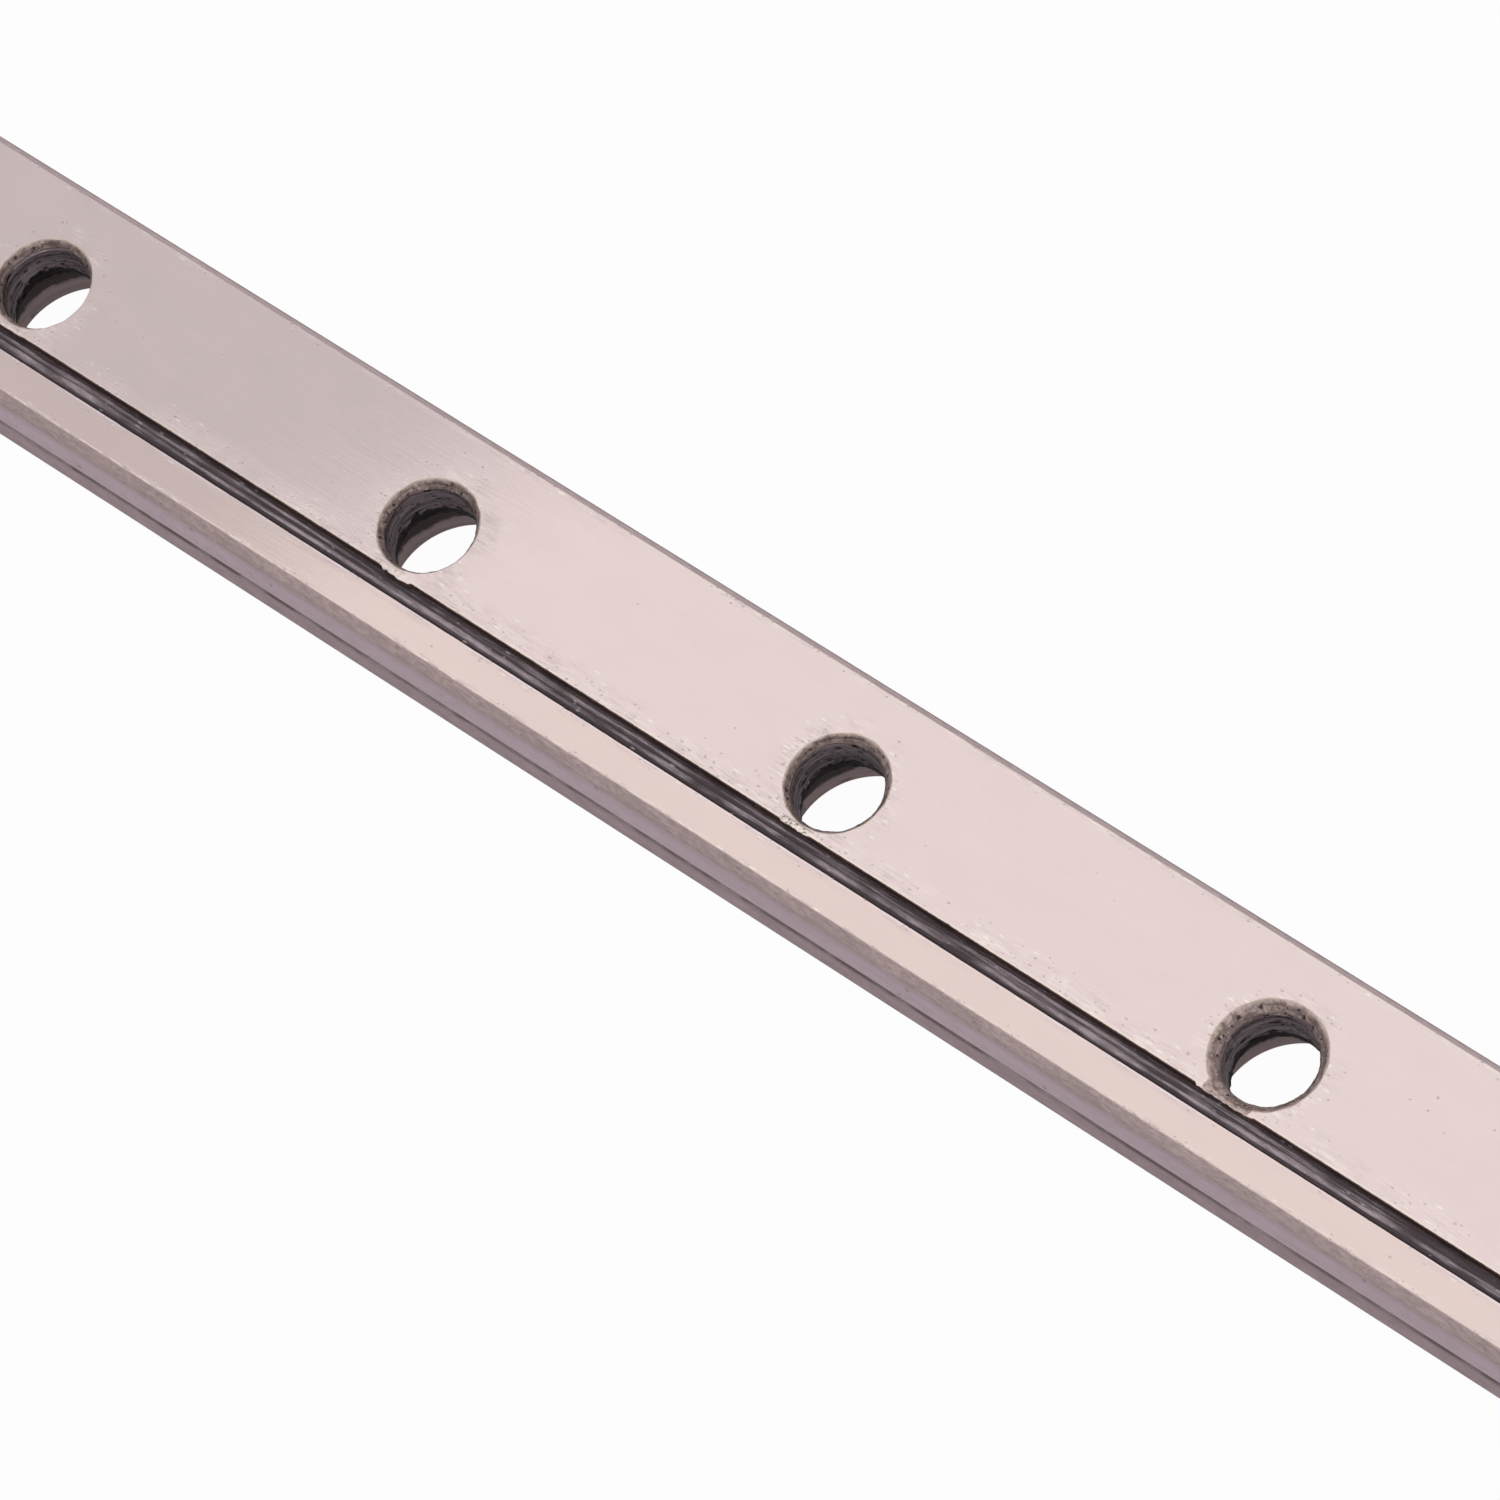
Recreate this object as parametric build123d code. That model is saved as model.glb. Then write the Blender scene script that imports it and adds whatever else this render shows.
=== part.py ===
from build123d import *
import math
import os

# Linear guide rail for a miniature recirculating-ball carriage, one ground steel bar.
# Millimetres. The bar lies on its running face with the mounting face up (+Z).
# The origin is the centre of the running face, X runs along the bar, Y across it.

# Length and section: a wide body under the mounting face, a narrower head under the carriage
rail_length = 155.0
rail_width = 9.0
rail_height = 5.5
head_width = 8.5

# Screw holes: a through bore that opens into a counterbore in the running face
hole_pitch = 20.0
least_end_distance = 7.5
hole_row_offset = 0.3
bore_diameter = 3.5
countersink_width = 0.36
counterbore_diameter = 6.0
counterbore_depth = 3.3
counterbore_chamfer = 0.15

# Edge chamfers: the datum side is -Y, the far side is +Y
datum_edge_chamfer = 0.4
far_edge_chamfer = 0.25
running_edge_chamfer = 0.25
end_chamfer = 0.3

# Marking groove in the mounting face, beside the datum side
marking_groove_width = 0.8
marking_groove_depth = 0.4
marking_groove_inset = 1.78

# Ball raceways: a gothic arch in each side, with a relief slot along its apex
ball_diameter = 1.588
arc_to_ball_ratio = 0.52
contact_angle = 45.0
raceway_height = 2.27
ball_standoff = 0.15
relief_slot_width = 0.3
relief_slot_depth = 0.12

# How far the shapes that cut the holes run past the faces that they open
overrun = 1.0


def gothic_arch():
    """One raceway's cutting section, apex towards -X and the ball centre at the origin."""
    arc_radius = arc_to_ball_ratio * ball_diameter
    centre_offset = arc_radius - ball_diameter / 2
    out = centre_offset * math.cos(math.radians(contact_angle))
    up = centre_offset * math.sin(math.radians(contact_angle))
    apex = math.sqrt(arc_radius**2 - up**2) - out
    slot_length = apex + relief_slot_depth
    arch = Pos(out, up) * Circle(arc_radius) & Pos(out, -up) * Circle(arc_radius)
    slot = Pos(-slot_length / 2, 0) * Rectangle(slot_length, relief_slot_width)
    return arch + slot


def bar_outline():
    """The section of the bar before its grooves: body over head, with the edge chamfers."""
    body_height = rail_height - raceway_height
    body = Pos(0, rail_height - body_height / 2) * Rectangle(rail_width, body_height)
    head = Pos(0, raceway_height / 2) * Rectangle(head_width, raceway_height)
    outline = chamfer((body + head).vertices().group_by(Axis.Y)[0], running_edge_chamfer)
    datum_edge = outline.vertices().group_by(Axis.Y)[-1].sort_by(Axis.X)[0]
    outline = chamfer(datum_edge, datum_edge_chamfer)
    far_edge = outline.vertices().group_by(Axis.Y)[-1].sort_by(Axis.X)[-1]
    return chamfer(far_edge, far_edge_chamfer)


def rail_section():
    """The bar's section across its length, drawn with the running face on the X axis."""
    raceway = Pos(rail_width / 2 + ball_standoff, raceway_height) * gothic_arch()
    groove_middle = marking_groove_inset + marking_groove_width / 2 - rail_width / 2
    marking_groove = Pos(groove_middle, rail_height) * Rectangle(
        marking_groove_width, 2 * marking_groove_depth
    )
    return bar_outline() - raceway - mirror(raceway, Plane.YZ) - marking_groove


def screw_hole():
    """The space of one screw hole, turned about Z, from below the running face to above."""
    bore_radius = bore_diameter / 2
    countersink_radius = bore_radius + countersink_width
    counterbore_radius = counterbore_diameter / 2
    mouth_radius = counterbore_radius + counterbore_chamfer
    outline = Polyline(
        (0, -overrun),
        (mouth_radius + overrun, -overrun),
        (mouth_radius, 0),
        (counterbore_radius, counterbore_chamfer),
        (counterbore_radius, counterbore_depth),
        (bore_radius, counterbore_depth),
        (bore_radius, rail_height - countersink_width),
        (countersink_radius, rail_height),
        (countersink_radius + overrun, rail_height + overrun),
        (0, rail_height + overrun),
        close=True,
    )
    return revolve(Plane.XZ * make_face(outline), Axis.Z)


def guide_rail():
    """The whole bar: the section run along X, its ends chamfered, the holes cut through."""
    section_plane = Plane(origin=(-rail_length / 2, 0, 0), x_dir=(0, 1, 0), z_dir=(1, 0, 0))
    bar = extrude(section_plane * rail_section(), rail_length)
    envelope = Pos(0, 0, rail_height / 2) * Box(rail_length, rail_width, rail_height)
    end_faces = envelope.faces().sort_by(Axis.X)
    envelope = chamfer(end_faces[0].edges() + end_faces[-1].edges(), end_chamfer)
    hole_count = int((rail_length - 2 * least_end_distance) / hole_pitch) + 1
    hole_row = Pos(0, hole_row_offset) * GridLocations(hole_pitch, 0, hole_count, 1)
    return (bar & envelope) - hole_row * screw_hole()


rail = guide_rail()
rail.label = "guide_rail"

os.makedirs("parts", exist_ok=True)
export_step(rail, "parts/guide_rail.step")
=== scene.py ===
import math

import bmesh
import bpy
from mathutils import Matrix, Vector, noise


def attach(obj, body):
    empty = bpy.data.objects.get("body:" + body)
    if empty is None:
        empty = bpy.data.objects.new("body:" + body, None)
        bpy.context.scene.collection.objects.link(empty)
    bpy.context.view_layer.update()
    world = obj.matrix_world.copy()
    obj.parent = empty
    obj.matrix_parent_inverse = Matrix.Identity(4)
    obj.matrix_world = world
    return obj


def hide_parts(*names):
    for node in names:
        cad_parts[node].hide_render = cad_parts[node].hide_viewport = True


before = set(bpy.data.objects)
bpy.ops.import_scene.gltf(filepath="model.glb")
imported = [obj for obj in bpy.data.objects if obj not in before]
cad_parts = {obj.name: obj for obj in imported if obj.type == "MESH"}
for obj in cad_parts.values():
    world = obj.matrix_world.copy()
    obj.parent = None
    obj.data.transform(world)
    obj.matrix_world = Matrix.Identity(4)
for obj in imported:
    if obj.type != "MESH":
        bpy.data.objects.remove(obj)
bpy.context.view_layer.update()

# Millimetres in the making, metres in the finished piece. X runs along the bar, Y across it,
# Z up from the running face. The datum side is -Y, the far side +Y.
MM = 0.001

bar_length, bar_width, bar_height = 155.0, 9.0, 5.5
head_width = 8.5
datum_chamfer, far_chamfer = 0.4, 0.25
running_chamfer, end_chamfer = 0.09, 0.3
# How much wider than it is deep the datum side's chamfer came out
datum_chamfer_spread = 0.04

groove_far, groove_near, groove_floor = -1.89, -2.72, 5.1
# The groove's floor: how far each point lies from the near wall, and how high above the floor
groove_points = [
    (0.02, 0.05), (0.08, 0.005), (0.16, 0.0), (0.22, 0.004), (0.28, 0.016), (0.36, 0.018),
    (0.42, 0.010), (0.48, 0.001), (0.54, 0.006), (0.60, 0.012), (0.67, 0.008), (0.77, 0.004),
    (0.815, 0.05),
]

# The raceways are gothic arches: two arcs that meet at the ball's middle, with a slot behind them
ball_across, raceway_height = 1.588, 2.27
ball_out = bar_width / 2 + 0.15
arc_steps = 12
arc_radius = 0.52 * ball_across
arc_shift = (arc_radius - ball_across / 2) * math.cos(math.pi / 4)
slot_half, slot_bottom = 0.15, 3.727

hole_pitch, hole_count, hole_row = 20.0, 8, 0.3
bore_radius, counterbore_radius, counterbore_depth = 1.75, 3.0, 3.3
countersink_width, countersink_depth, mouth_chamfer = 0.36, 0.46, 0.05
hole_steps = 96
# The countersink's mouth has this many faint flats, at most this deep
facets, facet_depth = 14, 0.030
# How far past the groove's edge a broken wall runs out
broken_reach = 0.16

# How far past the bar the tools that cut it run
past = 1.0


# The bar's shape


def run(bm, last, points):
    """Straight edges from a vertex through the points (y, z); gives the vertex at their end."""
    for y, z in points:
        new = bm.verts.new((0.0, y, z))
        bm.edges.new((last, new))
        last = new
    return last


def arc(bm, last, centre, end):
    """An arc from a vertex to the height end, turning about the centre (y, z)."""
    start = math.atan2(last.co.z - centre[1], last.co.y - centre[0])
    stop = math.asin((end - centre[1]) / arc_radius)
    spun = bmesh.ops.spin(
        bm, geom=[last], cent=(0, *centre), axis=(1, 0, 0), angle=stop - start,
        steps=arc_steps, use_merge=False, use_duplicate=False,
    )
    return next(g for g in spun["geom_last"] if isinstance(g, bmesh.types.BMVert))


def rail_outline(bm):
    """The bar's section, a closed ring of edges in the plane x = 0."""
    half, head = bar_width / 2, head_width / 2
    centre_y = -(ball_out + arc_shift)
    lip_z = raceway_height - arc_shift + math.sqrt(arc_radius**2 - (centre_y + half) ** 2)
    head_z = raceway_height + arc_shift - math.sqrt(arc_radius**2 - (centre_y + head) ** 2)
    lip = bm.verts.new((0.0, -half, lip_z))
    last = arc(bm, lip, (centre_y, raceway_height - arc_shift), raceway_height + slot_half)
    last = run(bm, last, [
        (-slot_bottom, raceway_height + slot_half),
        (-slot_bottom, raceway_height - slot_half),
        (last.co.y, raceway_height - slot_half),
    ])
    last = arc(bm, last, (centre_y, raceway_height + arc_shift), head_z)
    run(bm, last, [(-head, running_chamfer), (running_chamfer - head, 0.0), (0.0, 0.0)])
    bmesh.ops.mirror(
        bm, geom=bm.verts[:] + bm.edges[:], matrix=Matrix.Identity(4), merge_dist=1e-4, axis="Y"
    )
    bm.verts.ensure_lookup_table()
    far_lip = max(bm.verts, key=lambda v: (round(v.co.y, 3), v.co.z))
    datum_lip = min(bm.verts, key=lambda v: (round(v.co.y, 3), -v.co.z))
    last = run(bm, datum_lip, [
        (-half, bar_height - datum_chamfer),
        (datum_chamfer + datum_chamfer_spread - half, bar_height),
        (groove_near, bar_height),
        *((groove_near + across, groove_floor + up) for across, up in groove_points),
        (groove_far, bar_height),
        (half - far_chamfer, bar_height),
        (half, bar_height - far_chamfer),
    ])
    bm.edges.new((last, far_lip))


def long_edges(bm, low, high):
    """The edges that run the whole bar inside the window (y, z) low to high."""
    return [
        e for e in bm.edges
        if e.calc_length() > bar_length
        and all(low[0] <= v.co.y <= high[0] and low[1] <= v.co.z <= high[1] for v in e.verts)
    ]


def ease(bm, y, z, size, segments):
    """Rounds the long edge at (y, z)."""
    reach = 0.012
    bmesh.ops.bevel(
        bm, geom=long_edges(bm, (y - reach, z - reach), (y + reach, z + reach)), offset=size,
        offset_type="OFFSET", segments=segments, profile=0.5, affect="EDGES", material=-1,
    )


def wave(*place):
    """Smooth noise, from about -1 to 1, at a place."""
    return noise.noise(Vector(place))


# Into how many parts the frayed edges are divided, less one
fray_cuts = 1180


def fray(bm, low, high, push):
    """Divides the long edges in the window and moves the new vertices by push(x, y, z)."""
    cut = bmesh.ops.subdivide_edges(bm, edges=long_edges(bm, low, high), cuts=fray_cuts)
    for v in (g for g in cut["geom_inner"] if isinstance(g, bmesh.types.BMVert)):
        dy, dz = push(*v.co)
        v.co.y += dy
        v.co.z += dz


# Where the countersinks push the thin wall out into the groove: hole's x to where the bulge's
# middle lies from it, half its length and how far it stands out
wall_bulge = {
    -70: (0.10, 0.80, 0.04), -50: (-0.20, 0.90, 0.07), -30: (0.10, 0.70, 0.05),
    -10: (0.27, 0.68, 0.12), 10: (-0.15, 0.66, 0.07), 30: (-0.30, 1.22, 0.10),
    50: (0.15, 0.85, 0.07), 70: (-0.10, 0.70, 0.05),
}


def bulge(x):
    """How far the groove's far edge stands out into the groove at x."""
    hole = min(wall_bulge, key=lambda h: abs(h - x))
    middle, half, out = wall_bulge[hole]
    inside = half + 0.06 - abs(x - hole - middle)
    if inside < 0.0:
        return 0.0
    ragged = 0.85 + 0.4 * wave(x * 3.1, 4.0, hole) + 0.4 * wave(x * 9.0, 7.0, hole)
    return out * min(1.0, inside / 0.10) * max(0.0, ragged)


def fray_groove_far(x, y, z):
    if z < bar_height - 0.1:
        return 0.0, 0.0
    rough = 0.010 * wave(x * 1.3, 1.0, z) + 0.012 * wave(x * 6.0, 2.0, z * 3)
    notch = max(0.0, wave(x * 2.2, 3.0, 0.0) - 0.45) * 0.08
    return rough + notch - bulge(x), 0.0


def fray_groove_near(x, y, z):
    if z < bar_height - 0.1:
        return 0.0, 0.0
    rough = 0.006 * wave(x * 2.0, 11.0, z)
    notch = max(0.0, wave(x * 3.0, 12.0, z) - 0.5) * 0.05
    return rough - notch, 0.0


def fray_datum_edge(x, y, z):
    if z < bar_height - 0.2:
        sway = 0.016 * wave(x * 0.9, 25.0, 0.0) + 0.010 * wave(x * 4.0, 26.0, 0.0)
        return (0.0, sway) if y < 0.004 - bar_width / 2 else (max(0.0, sway), -abs(sway))
    size = 0.008 * wave(x * 1.1, 21.0, y * 9) + 0.010 * wave(x * 5.0, 22.0, y * 9)
    notch = max(0.0, wave(x * 2.4, 23.0, 0.0) - 0.42) * (0.10 + 0.05 * wave(x * 0.1, 24.0, 0.0))
    if z > bar_height - 0.005:
        return size + notch, 0.0
    return size * 0.7, -size * 0.7


def fray_far_edge(x, y, z):
    size = 0.006 * wave(x * 1.4, 31.0, y * 7) + 0.006 * wave(x * 6.0, 32.0, y * 7)
    notch = max(0.0, wave(x * 1.7, 33.0, 0.0) - 0.48) * 0.09
    if z > bar_height - 0.005:
        return size - notch, 0.0
    return size * 0.7, size * -0.7


def finish_of(centre, normal):
    """The finish of a face of the plain bar, by where its middle lies."""
    across, up = abs(centre.y), centre.z
    if groove_near - 0.01 < centre.y < groove_far + 0.01 and up > groove_floor - 0.01:
        if up < bar_height - 0.02 or normal.z < 0.9:
            return "marking_groove"
    if up > bar_height - 0.035 and across < bar_width / 2 - 0.2:
        return "ground_face"
    if up > bar_height - datum_chamfer - 0.03:
        return "chamfer"
    if across > bar_width / 2 - 0.06:
        return "ground_side"
    if across > 3.7 and up > 1.59:
        return "raceway"
    if across > 4.2:
        return "head_side"
    if up > 0.02:
        return "chamfer"
    return "ground_face"


def make_bar(materials):
    """The plain bar, longer than the rail at both ends, with its worn long edges."""
    bm = bmesh.new()
    rail_outline(bm)
    half = bar_length / 2 + past
    bmesh.ops.translate(bm, verts=bm.verts[:], vec=(-half, 0, 0))
    drawn = bmesh.ops.extrude_edge_only(bm, edges=bm.edges[:])["geom"]
    moved = [g for g in drawn if isinstance(g, bmesh.types.BMVert)]
    bmesh.ops.translate(bm, verts=moved, vec=(2 * half, 0, 0))
    bmesh.ops.recalc_face_normals(bm, faces=bm.faces[:])
    side, top = bar_width / 2, bar_height
    lip = max(v.co.z for v in bm.verts if v.co.y < 0.01 - side and v.co.z < 4)
    # Each long edge that is rounded: where it lies, how widely and in how many flats
    for y, z, size, segments in (
        (datum_chamfer + datum_chamfer_spread - side, top, 0.045, 2),
        (-side, top - datum_chamfer, 0.060, 3),
        (side - far_chamfer, top, 0.025, 1),
        (side, top - far_chamfer, 0.030, 2),
        (groove_near, top, 0.022, 1),
        (groove_far, top, 0.020, 1),
        (-side, lip, 0.018, 1),
        (side, lip, 0.018, 1),
    ):
        ease(bm, y, z, size, segments)
    fray(bm, (groove_far - 0.03, top - 0.5), (groove_far + 0.04, top), fray_groove_far)
    fray(bm, (groove_near - 0.04, groove_floor + 0.04), (groove_near + 0.03, top), fray_groove_near)
    fray(bm, (-side, top - datum_chamfer - 0.07), (datum_chamfer - side + 0.09, top), fray_datum_edge)
    fray(bm, (side - far_chamfer - 0.05, top - far_chamfer + 0.01), (side, top), fray_far_edge)
    for end in (-half, half):
        ring = [e for e in bm.edges if all(abs(v.co.x - end) < 1e-4 for v in e.verts)]
        bmesh.ops.contextual_create(bm, geom=ring)
    bmesh.ops.recalc_face_normals(bm, faces=bm.faces[:])
    order = list(materials)
    for f in bm.faces:
        f.material_index = order.index(finish_of(f.calc_center_median(), f.normal))
    return as_object("guide_rail_bar", bm, materials.values())


def make_envelope(end_material):
    """A box larger than the bar all round but in length, its end chamfers in the bar's planes."""
    bm = bmesh.new()
    size = (bar_length, bar_width + 2 * past, bar_height + 2 * past)
    bmesh.ops.create_cube(bm, size=1.0)
    bmesh.ops.scale(bm, verts=bm.verts[:], vec=size)
    bmesh.ops.translate(bm, verts=bm.verts[:], vec=(0, 0, bar_height / 2))
    ends = [e for e in bm.edges if abs(e.verts[0].co.x - e.verts[1].co.x) < 1e-6]
    bmesh.ops.bevel(
        bm, geom=ends, offset=end_chamfer + past, offset_type="OFFSET", segments=1,
        profile=0.5, affect="EDGES", material=-1,
    )
    return as_object("end_tool", bm, [end_material])


# The screw holes

# The countersinks differ a little: hole's x to the change of radius and how far off they sit
countersink_change = {
    -70: (-0.02, 0.02, 0.01), -50: (-0.07, -0.01, 0.03), -30: (-0.11, -0.075, 0.02),
    -10: (-0.095, -0.01, 0.055), 10: (-0.08, 0.055, 0.055), 30: (0.09, -0.05, 0.03),
    50: (-0.03, -0.02, 0.02), 70: (-0.06, 0.01, 0.03),
}
# Where the wall between a countersink and the groove has broken down: hole's x to the turns
# about the hole, in degrees, between which the countersink runs out into the groove
broken_wall = {30: (237.0, 292.0), -50: (250.0, 284.0)}


def hole_tool(bm, x):
    """The space of one screw hole, with the drill's and the countersink's unevenness."""
    mouth = countersink_width + countersink_change[round(x)][0]
    step = counterbore_depth
    # From the top down: radius and height
    rings = [
        (0.0, bar_height + past),
        (bore_radius + mouth + past, bar_height + past),
        (bore_radius + mouth + 0.02, bar_height),
        (bore_radius + mouth - 0.02, bar_height - 0.025),
        (bore_radius + mouth * 0.76, bar_height - 0.09),
        (bore_radius + mouth * 0.45, bar_height - 0.21),
        (bore_radius + mouth * 0.20, bar_height - 0.30),
        (bore_radius + 0.02, bar_height - 0.37),
        (bore_radius, bar_height - countersink_depth),
        (bore_radius, 4.6),
        (bore_radius, 4.2),
        (bore_radius, 3.8),
        (bore_radius, step + 0.16),
        (bore_radius + 0.01, step + 0.04),
        (bore_radius + 0.08, step),
        (2.3, step),
        (counterbore_radius - 0.03, step),
        (counterbore_radius, step - 0.03),
        (counterbore_radius, 2.2),
        (counterbore_radius, 1.1),
        (counterbore_radius, mouth_chamfer),
        (counterbore_radius + mouth_chamfer, 0.0),
        (counterbore_radius + mouth_chamfer + past, -past),
        (0.0, -past),
    ]
    last, chain = None, []
    for r, z in rings:
        new = bm.verts.new((x + r, hole_row, z))
        chain.append(new)
        if last:
            chain.append(bm.edges.new((last, new)))
        last = new
    before = {v for v in bm.verts if v not in chain}
    bmesh.ops.spin(
        bm, geom=chain, cent=(x, hole_row, 0), axis=(0, 0, 1), angle=math.tau,
        steps=hole_steps, use_merge=True, use_duplicate=False,
    )
    for v in bm.verts:
        if v not in before:
            uneven(v, x)


def uneven(v, x):
    """Sets the countersink off centre, and moves the hole's wall and lower edge a little."""
    out = Vector((v.co.x - x, v.co.y - hole_row, 0))
    r, z = out.length, v.co.z
    if r < 0.5 or z < counterbore_depth - 0.01:
        return
    out.normalize()
    off = countersink_change[round(x)]
    share = min(1.0, max(0.0, (z - bar_height + countersink_depth) / 0.40))
    v.co += Vector((off[1], off[2], 0)) * share
    if z > bar_height + 0.01:
        return
    coarse = wave(out.x * 1.7, out.y * 1.7, x * 0.31 + z * 0.4)
    middling = wave(out.x * 5, out.y * 5, x * 0.17 + z * 2)
    fine = wave(out.x * 14, out.y * 14, x * 0.23 + z * 9)
    turn = math.atan2(out.y, out.x) % math.tau
    if z > bar_height - 0.05:
        across = 2 * ((turn * facets / math.tau + x * 0.37) % 1.0) - 1
        dip = facet_depth * (1 - across * across) * min(1.0, max(0.0, 0.6 + 2 * coarse))
        v.co += out * (0.012 * coarse + 0.010 * middling + 0.010 * fine - dip + 0.01)
        v.co += out * to_groove(x, r, turn)
    elif z > bar_height - 0.40:
        v.co += out * (0.020 * coarse + 0.030 * middling + 0.024 * fine)
        v.co += out * to_groove(x, r, turn) * (0.35 if z > bar_height - 0.15 else 0.0)
    elif z > counterbore_depth + 0.2:
        v.co += out * (0.010 * middling + 0.006 * fine)
    elif r < 2.0:
        v.co += out * (0.030 * middling + 0.040 * fine)
        v.co.z += 0.030 * coarse + 0.035 * fine


def to_groove(x, r, turn):
    """How far the countersink's edge runs out to reach the groove where the wall is broken."""
    if round(x) not in broken_wall:
        return 0.0
    first, last = (math.radians(a) for a in broken_wall[round(x)])
    inside = min(turn - first, last - turn)
    if inside < 0.0:
        return 0.0
    gap = (hole_row - groove_far + broken_reach) / abs(math.sin(turn)) - r
    return max(0.0, gap) * min(1.0, inside / 0.08)


def make_holes(countersink, bore, counterbore):
    """All screw holes as one tool, its faces in the finishes that they leave behind."""
    bm = bmesh.new()
    for n in range(hole_count):
        hole_tool(bm, hole_pitch * (n - (hole_count - 1) / 2))
    bmesh.ops.remove_doubles(bm, verts=bm.verts[:], dist=1e-5)
    bmesh.ops.recalc_face_normals(bm, faces=bm.faces[:])
    for f in bm.faces:
        z = f.calc_center_median().z
        in_bore = z > counterbore_depth + 0.01
        f.material_index = 0 if z > bar_height - 0.385 else 1 if in_bore else 2
        f.smooth = True
    return as_object("hole_tool", bm, [countersink, bore, counterbore])


def as_object(name, bm, materials):
    mesh = bpy.data.meshes.new(name)
    bm.to_mesh(mesh)
    bm.free()
    for material in materials:
        mesh.materials.append(material)
    made = bpy.data.objects.new(name, mesh)
    bpy.context.scene.collection.objects.link(made)
    return made


def carve(piece, tool, operation):
    """Cuts the piece with the tool, which is used up. The tool's faces bring their materials."""
    cut = piece.modifiers.new("cut", "BOOLEAN")
    cut.object, cut.operation, cut.solver = tool, operation, "EXACT"
    cut.material_mode = "TRANSFER"
    bpy.context.view_layer.update()
    shown = piece.evaluated_get(bpy.context.evaluated_depsgraph_get())
    whole = piece.data
    result = bpy.data.meshes.new_from_object(shown)
    piece.modifiers.remove(cut)
    piece.data = result
    bpy.data.meshes.remove(whole)
    bpy.data.objects.remove(tool)


def smooth_curves(piece, curved):
    """Flat faces stay flat, curved ones turn smoothly, and corners stay sharp."""
    bm = bmesh.new()
    bm.from_mesh(piece.data)
    bmesh.ops.remove_doubles(bm, verts=bm.verts[:], dist=2e-6)
    bmesh.ops.dissolve_degenerate(bm, edges=bm.edges[:], dist=1e-6)
    names = [m.name for m in piece.data.materials]
    for f in bm.faces:
        f.smooth = names[f.material_index] in curved
    for e in bm.edges:
        e.smooth = len(e.link_faces) == 2 and e.calc_face_angle(0.0) < math.radians(32)
    bmesh.ops.scale(bm, verts=bm.verts[:], vec=(MM, MM, MM))
    bm.to_mesh(piece.data)
    bm.free()


# The surface finishes. Their places and lengths are in millimetres, masks run from 0 to 1, and
# colours are linear red, green, blue and alpha.


class Nodes:
    """Adds nodes to one tree. A socket that is given as a value is linked, the rest are set."""

    def __init__(self, tree):
        self.tree = tree

    def give(self, socket, value):
        if isinstance(value, bpy.types.NodeSocket):
            self.tree.links.new(value, socket)
        else:
            socket.default_value = value

    def add(self, kind, values=None, outlet=0, **settings):
        made = self.tree.nodes.new(kind)
        for name, value in settings.items():
            setattr(made, name, value)
        for key, value in (values or {}).items():
            self.give(made.inputs[key], value)
        return made.outputs[outlet]

    def math(self, operation, a, b=0.0, c=0.0, clamp=False):
        return self.add(
            "ShaderNodeMath", {0: a, 1: b, 2: c}, operation=operation, use_clamp=clamp
        )

    def plus(self, a, b, clamp=False):
        return self.math("ADD", a, b, clamp=clamp)

    def minus(self, a, b, clamp=False):
        return self.math("SUBTRACT", a, b, clamp=clamp)

    def times(self, a, b):
        return self.math("MULTIPLY", a, b)

    def vector(self, operation, a, b=(0, 0, 0)):
        return self.add("ShaderNodeVectorMath", {0: a, 1: b}, operation=operation)

    def moved(self, place, offset):
        return self.vector("ADD", place, offset)

    def stretched(self, place, factors):
        return self.vector("MULTIPLY", place, factors)

    def mix(self, factor, a, b):
        """Mixes two colours. Sockets 6, 7 and 2 are the node's colour sockets."""
        return self.add("ShaderNodeMix", {0: factor, 6: a, 7: b}, 2, data_type="RGBA")

    def cover(self, colour, mask, share, over):
        """The colour, overlaid with another as far as the mask and the share say."""
        return self.mix(self.times(mask, share), colour, over)

    def steps(self, value, low, high, to_low=0.0, to_high=1.0):
        """A smooth step from to_low at low to to_high at high, which may be the lower of the two."""
        values = {0: value, 1: low, 2: high, 3: to_low, 4: to_high}
        return self.add("ShaderNodeMapRange", values, interpolation_type="SMOOTHSTEP")

    def noise(self, place, detail=2.0, rough=0.5, scale=1.0):
        values = {"Vector": place, "Scale": scale, "Detail": detail, "Roughness": rough}
        return self.add("ShaderNodeTexNoise", values)

    def noise_shift(self, place, size):
        """A small wandering offset that makes round spots ragged."""
        wander = self.add("ShaderNodeTexNoise", {"Vector": place, "Scale": 9.0, "Detail": 2.0}, 1)
        centred = self.vector("SUBTRACT", wander, (0.5, 0.5, 0.5))
        return self.stretched(centred, (size, size, size))

    def group(self, group, values, outlet=0):
        return self.add("ShaderNodeGroup", values, outlet, node_tree=group)

    def split(self, place):
        made = self.tree.nodes.new("ShaderNodeSeparateXYZ")
        self.give(made.inputs[0], place)
        return made.outputs


def new_group(name, inputs, outputs):
    """An empty shader group: its nodes, the group's own inputs and outputs."""
    group = bpy.data.node_groups.new(name, "ShaderNodeTree")
    for label in inputs:
        kind = "NodeSocketVector" if label == "Place" else "NodeSocketFloat"
        group.interface.new_socket(label, in_out="INPUT", socket_type=kind)
    for label in outputs:
        group.interface.new_socket(label, in_out="OUTPUT", socket_type="NodeSocketFloat")
    inside = group.nodes.new("NodeGroupInput").outputs
    outside = group.nodes.new("NodeGroupOutput").inputs
    return group, Nodes(group), inside, outside


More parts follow.
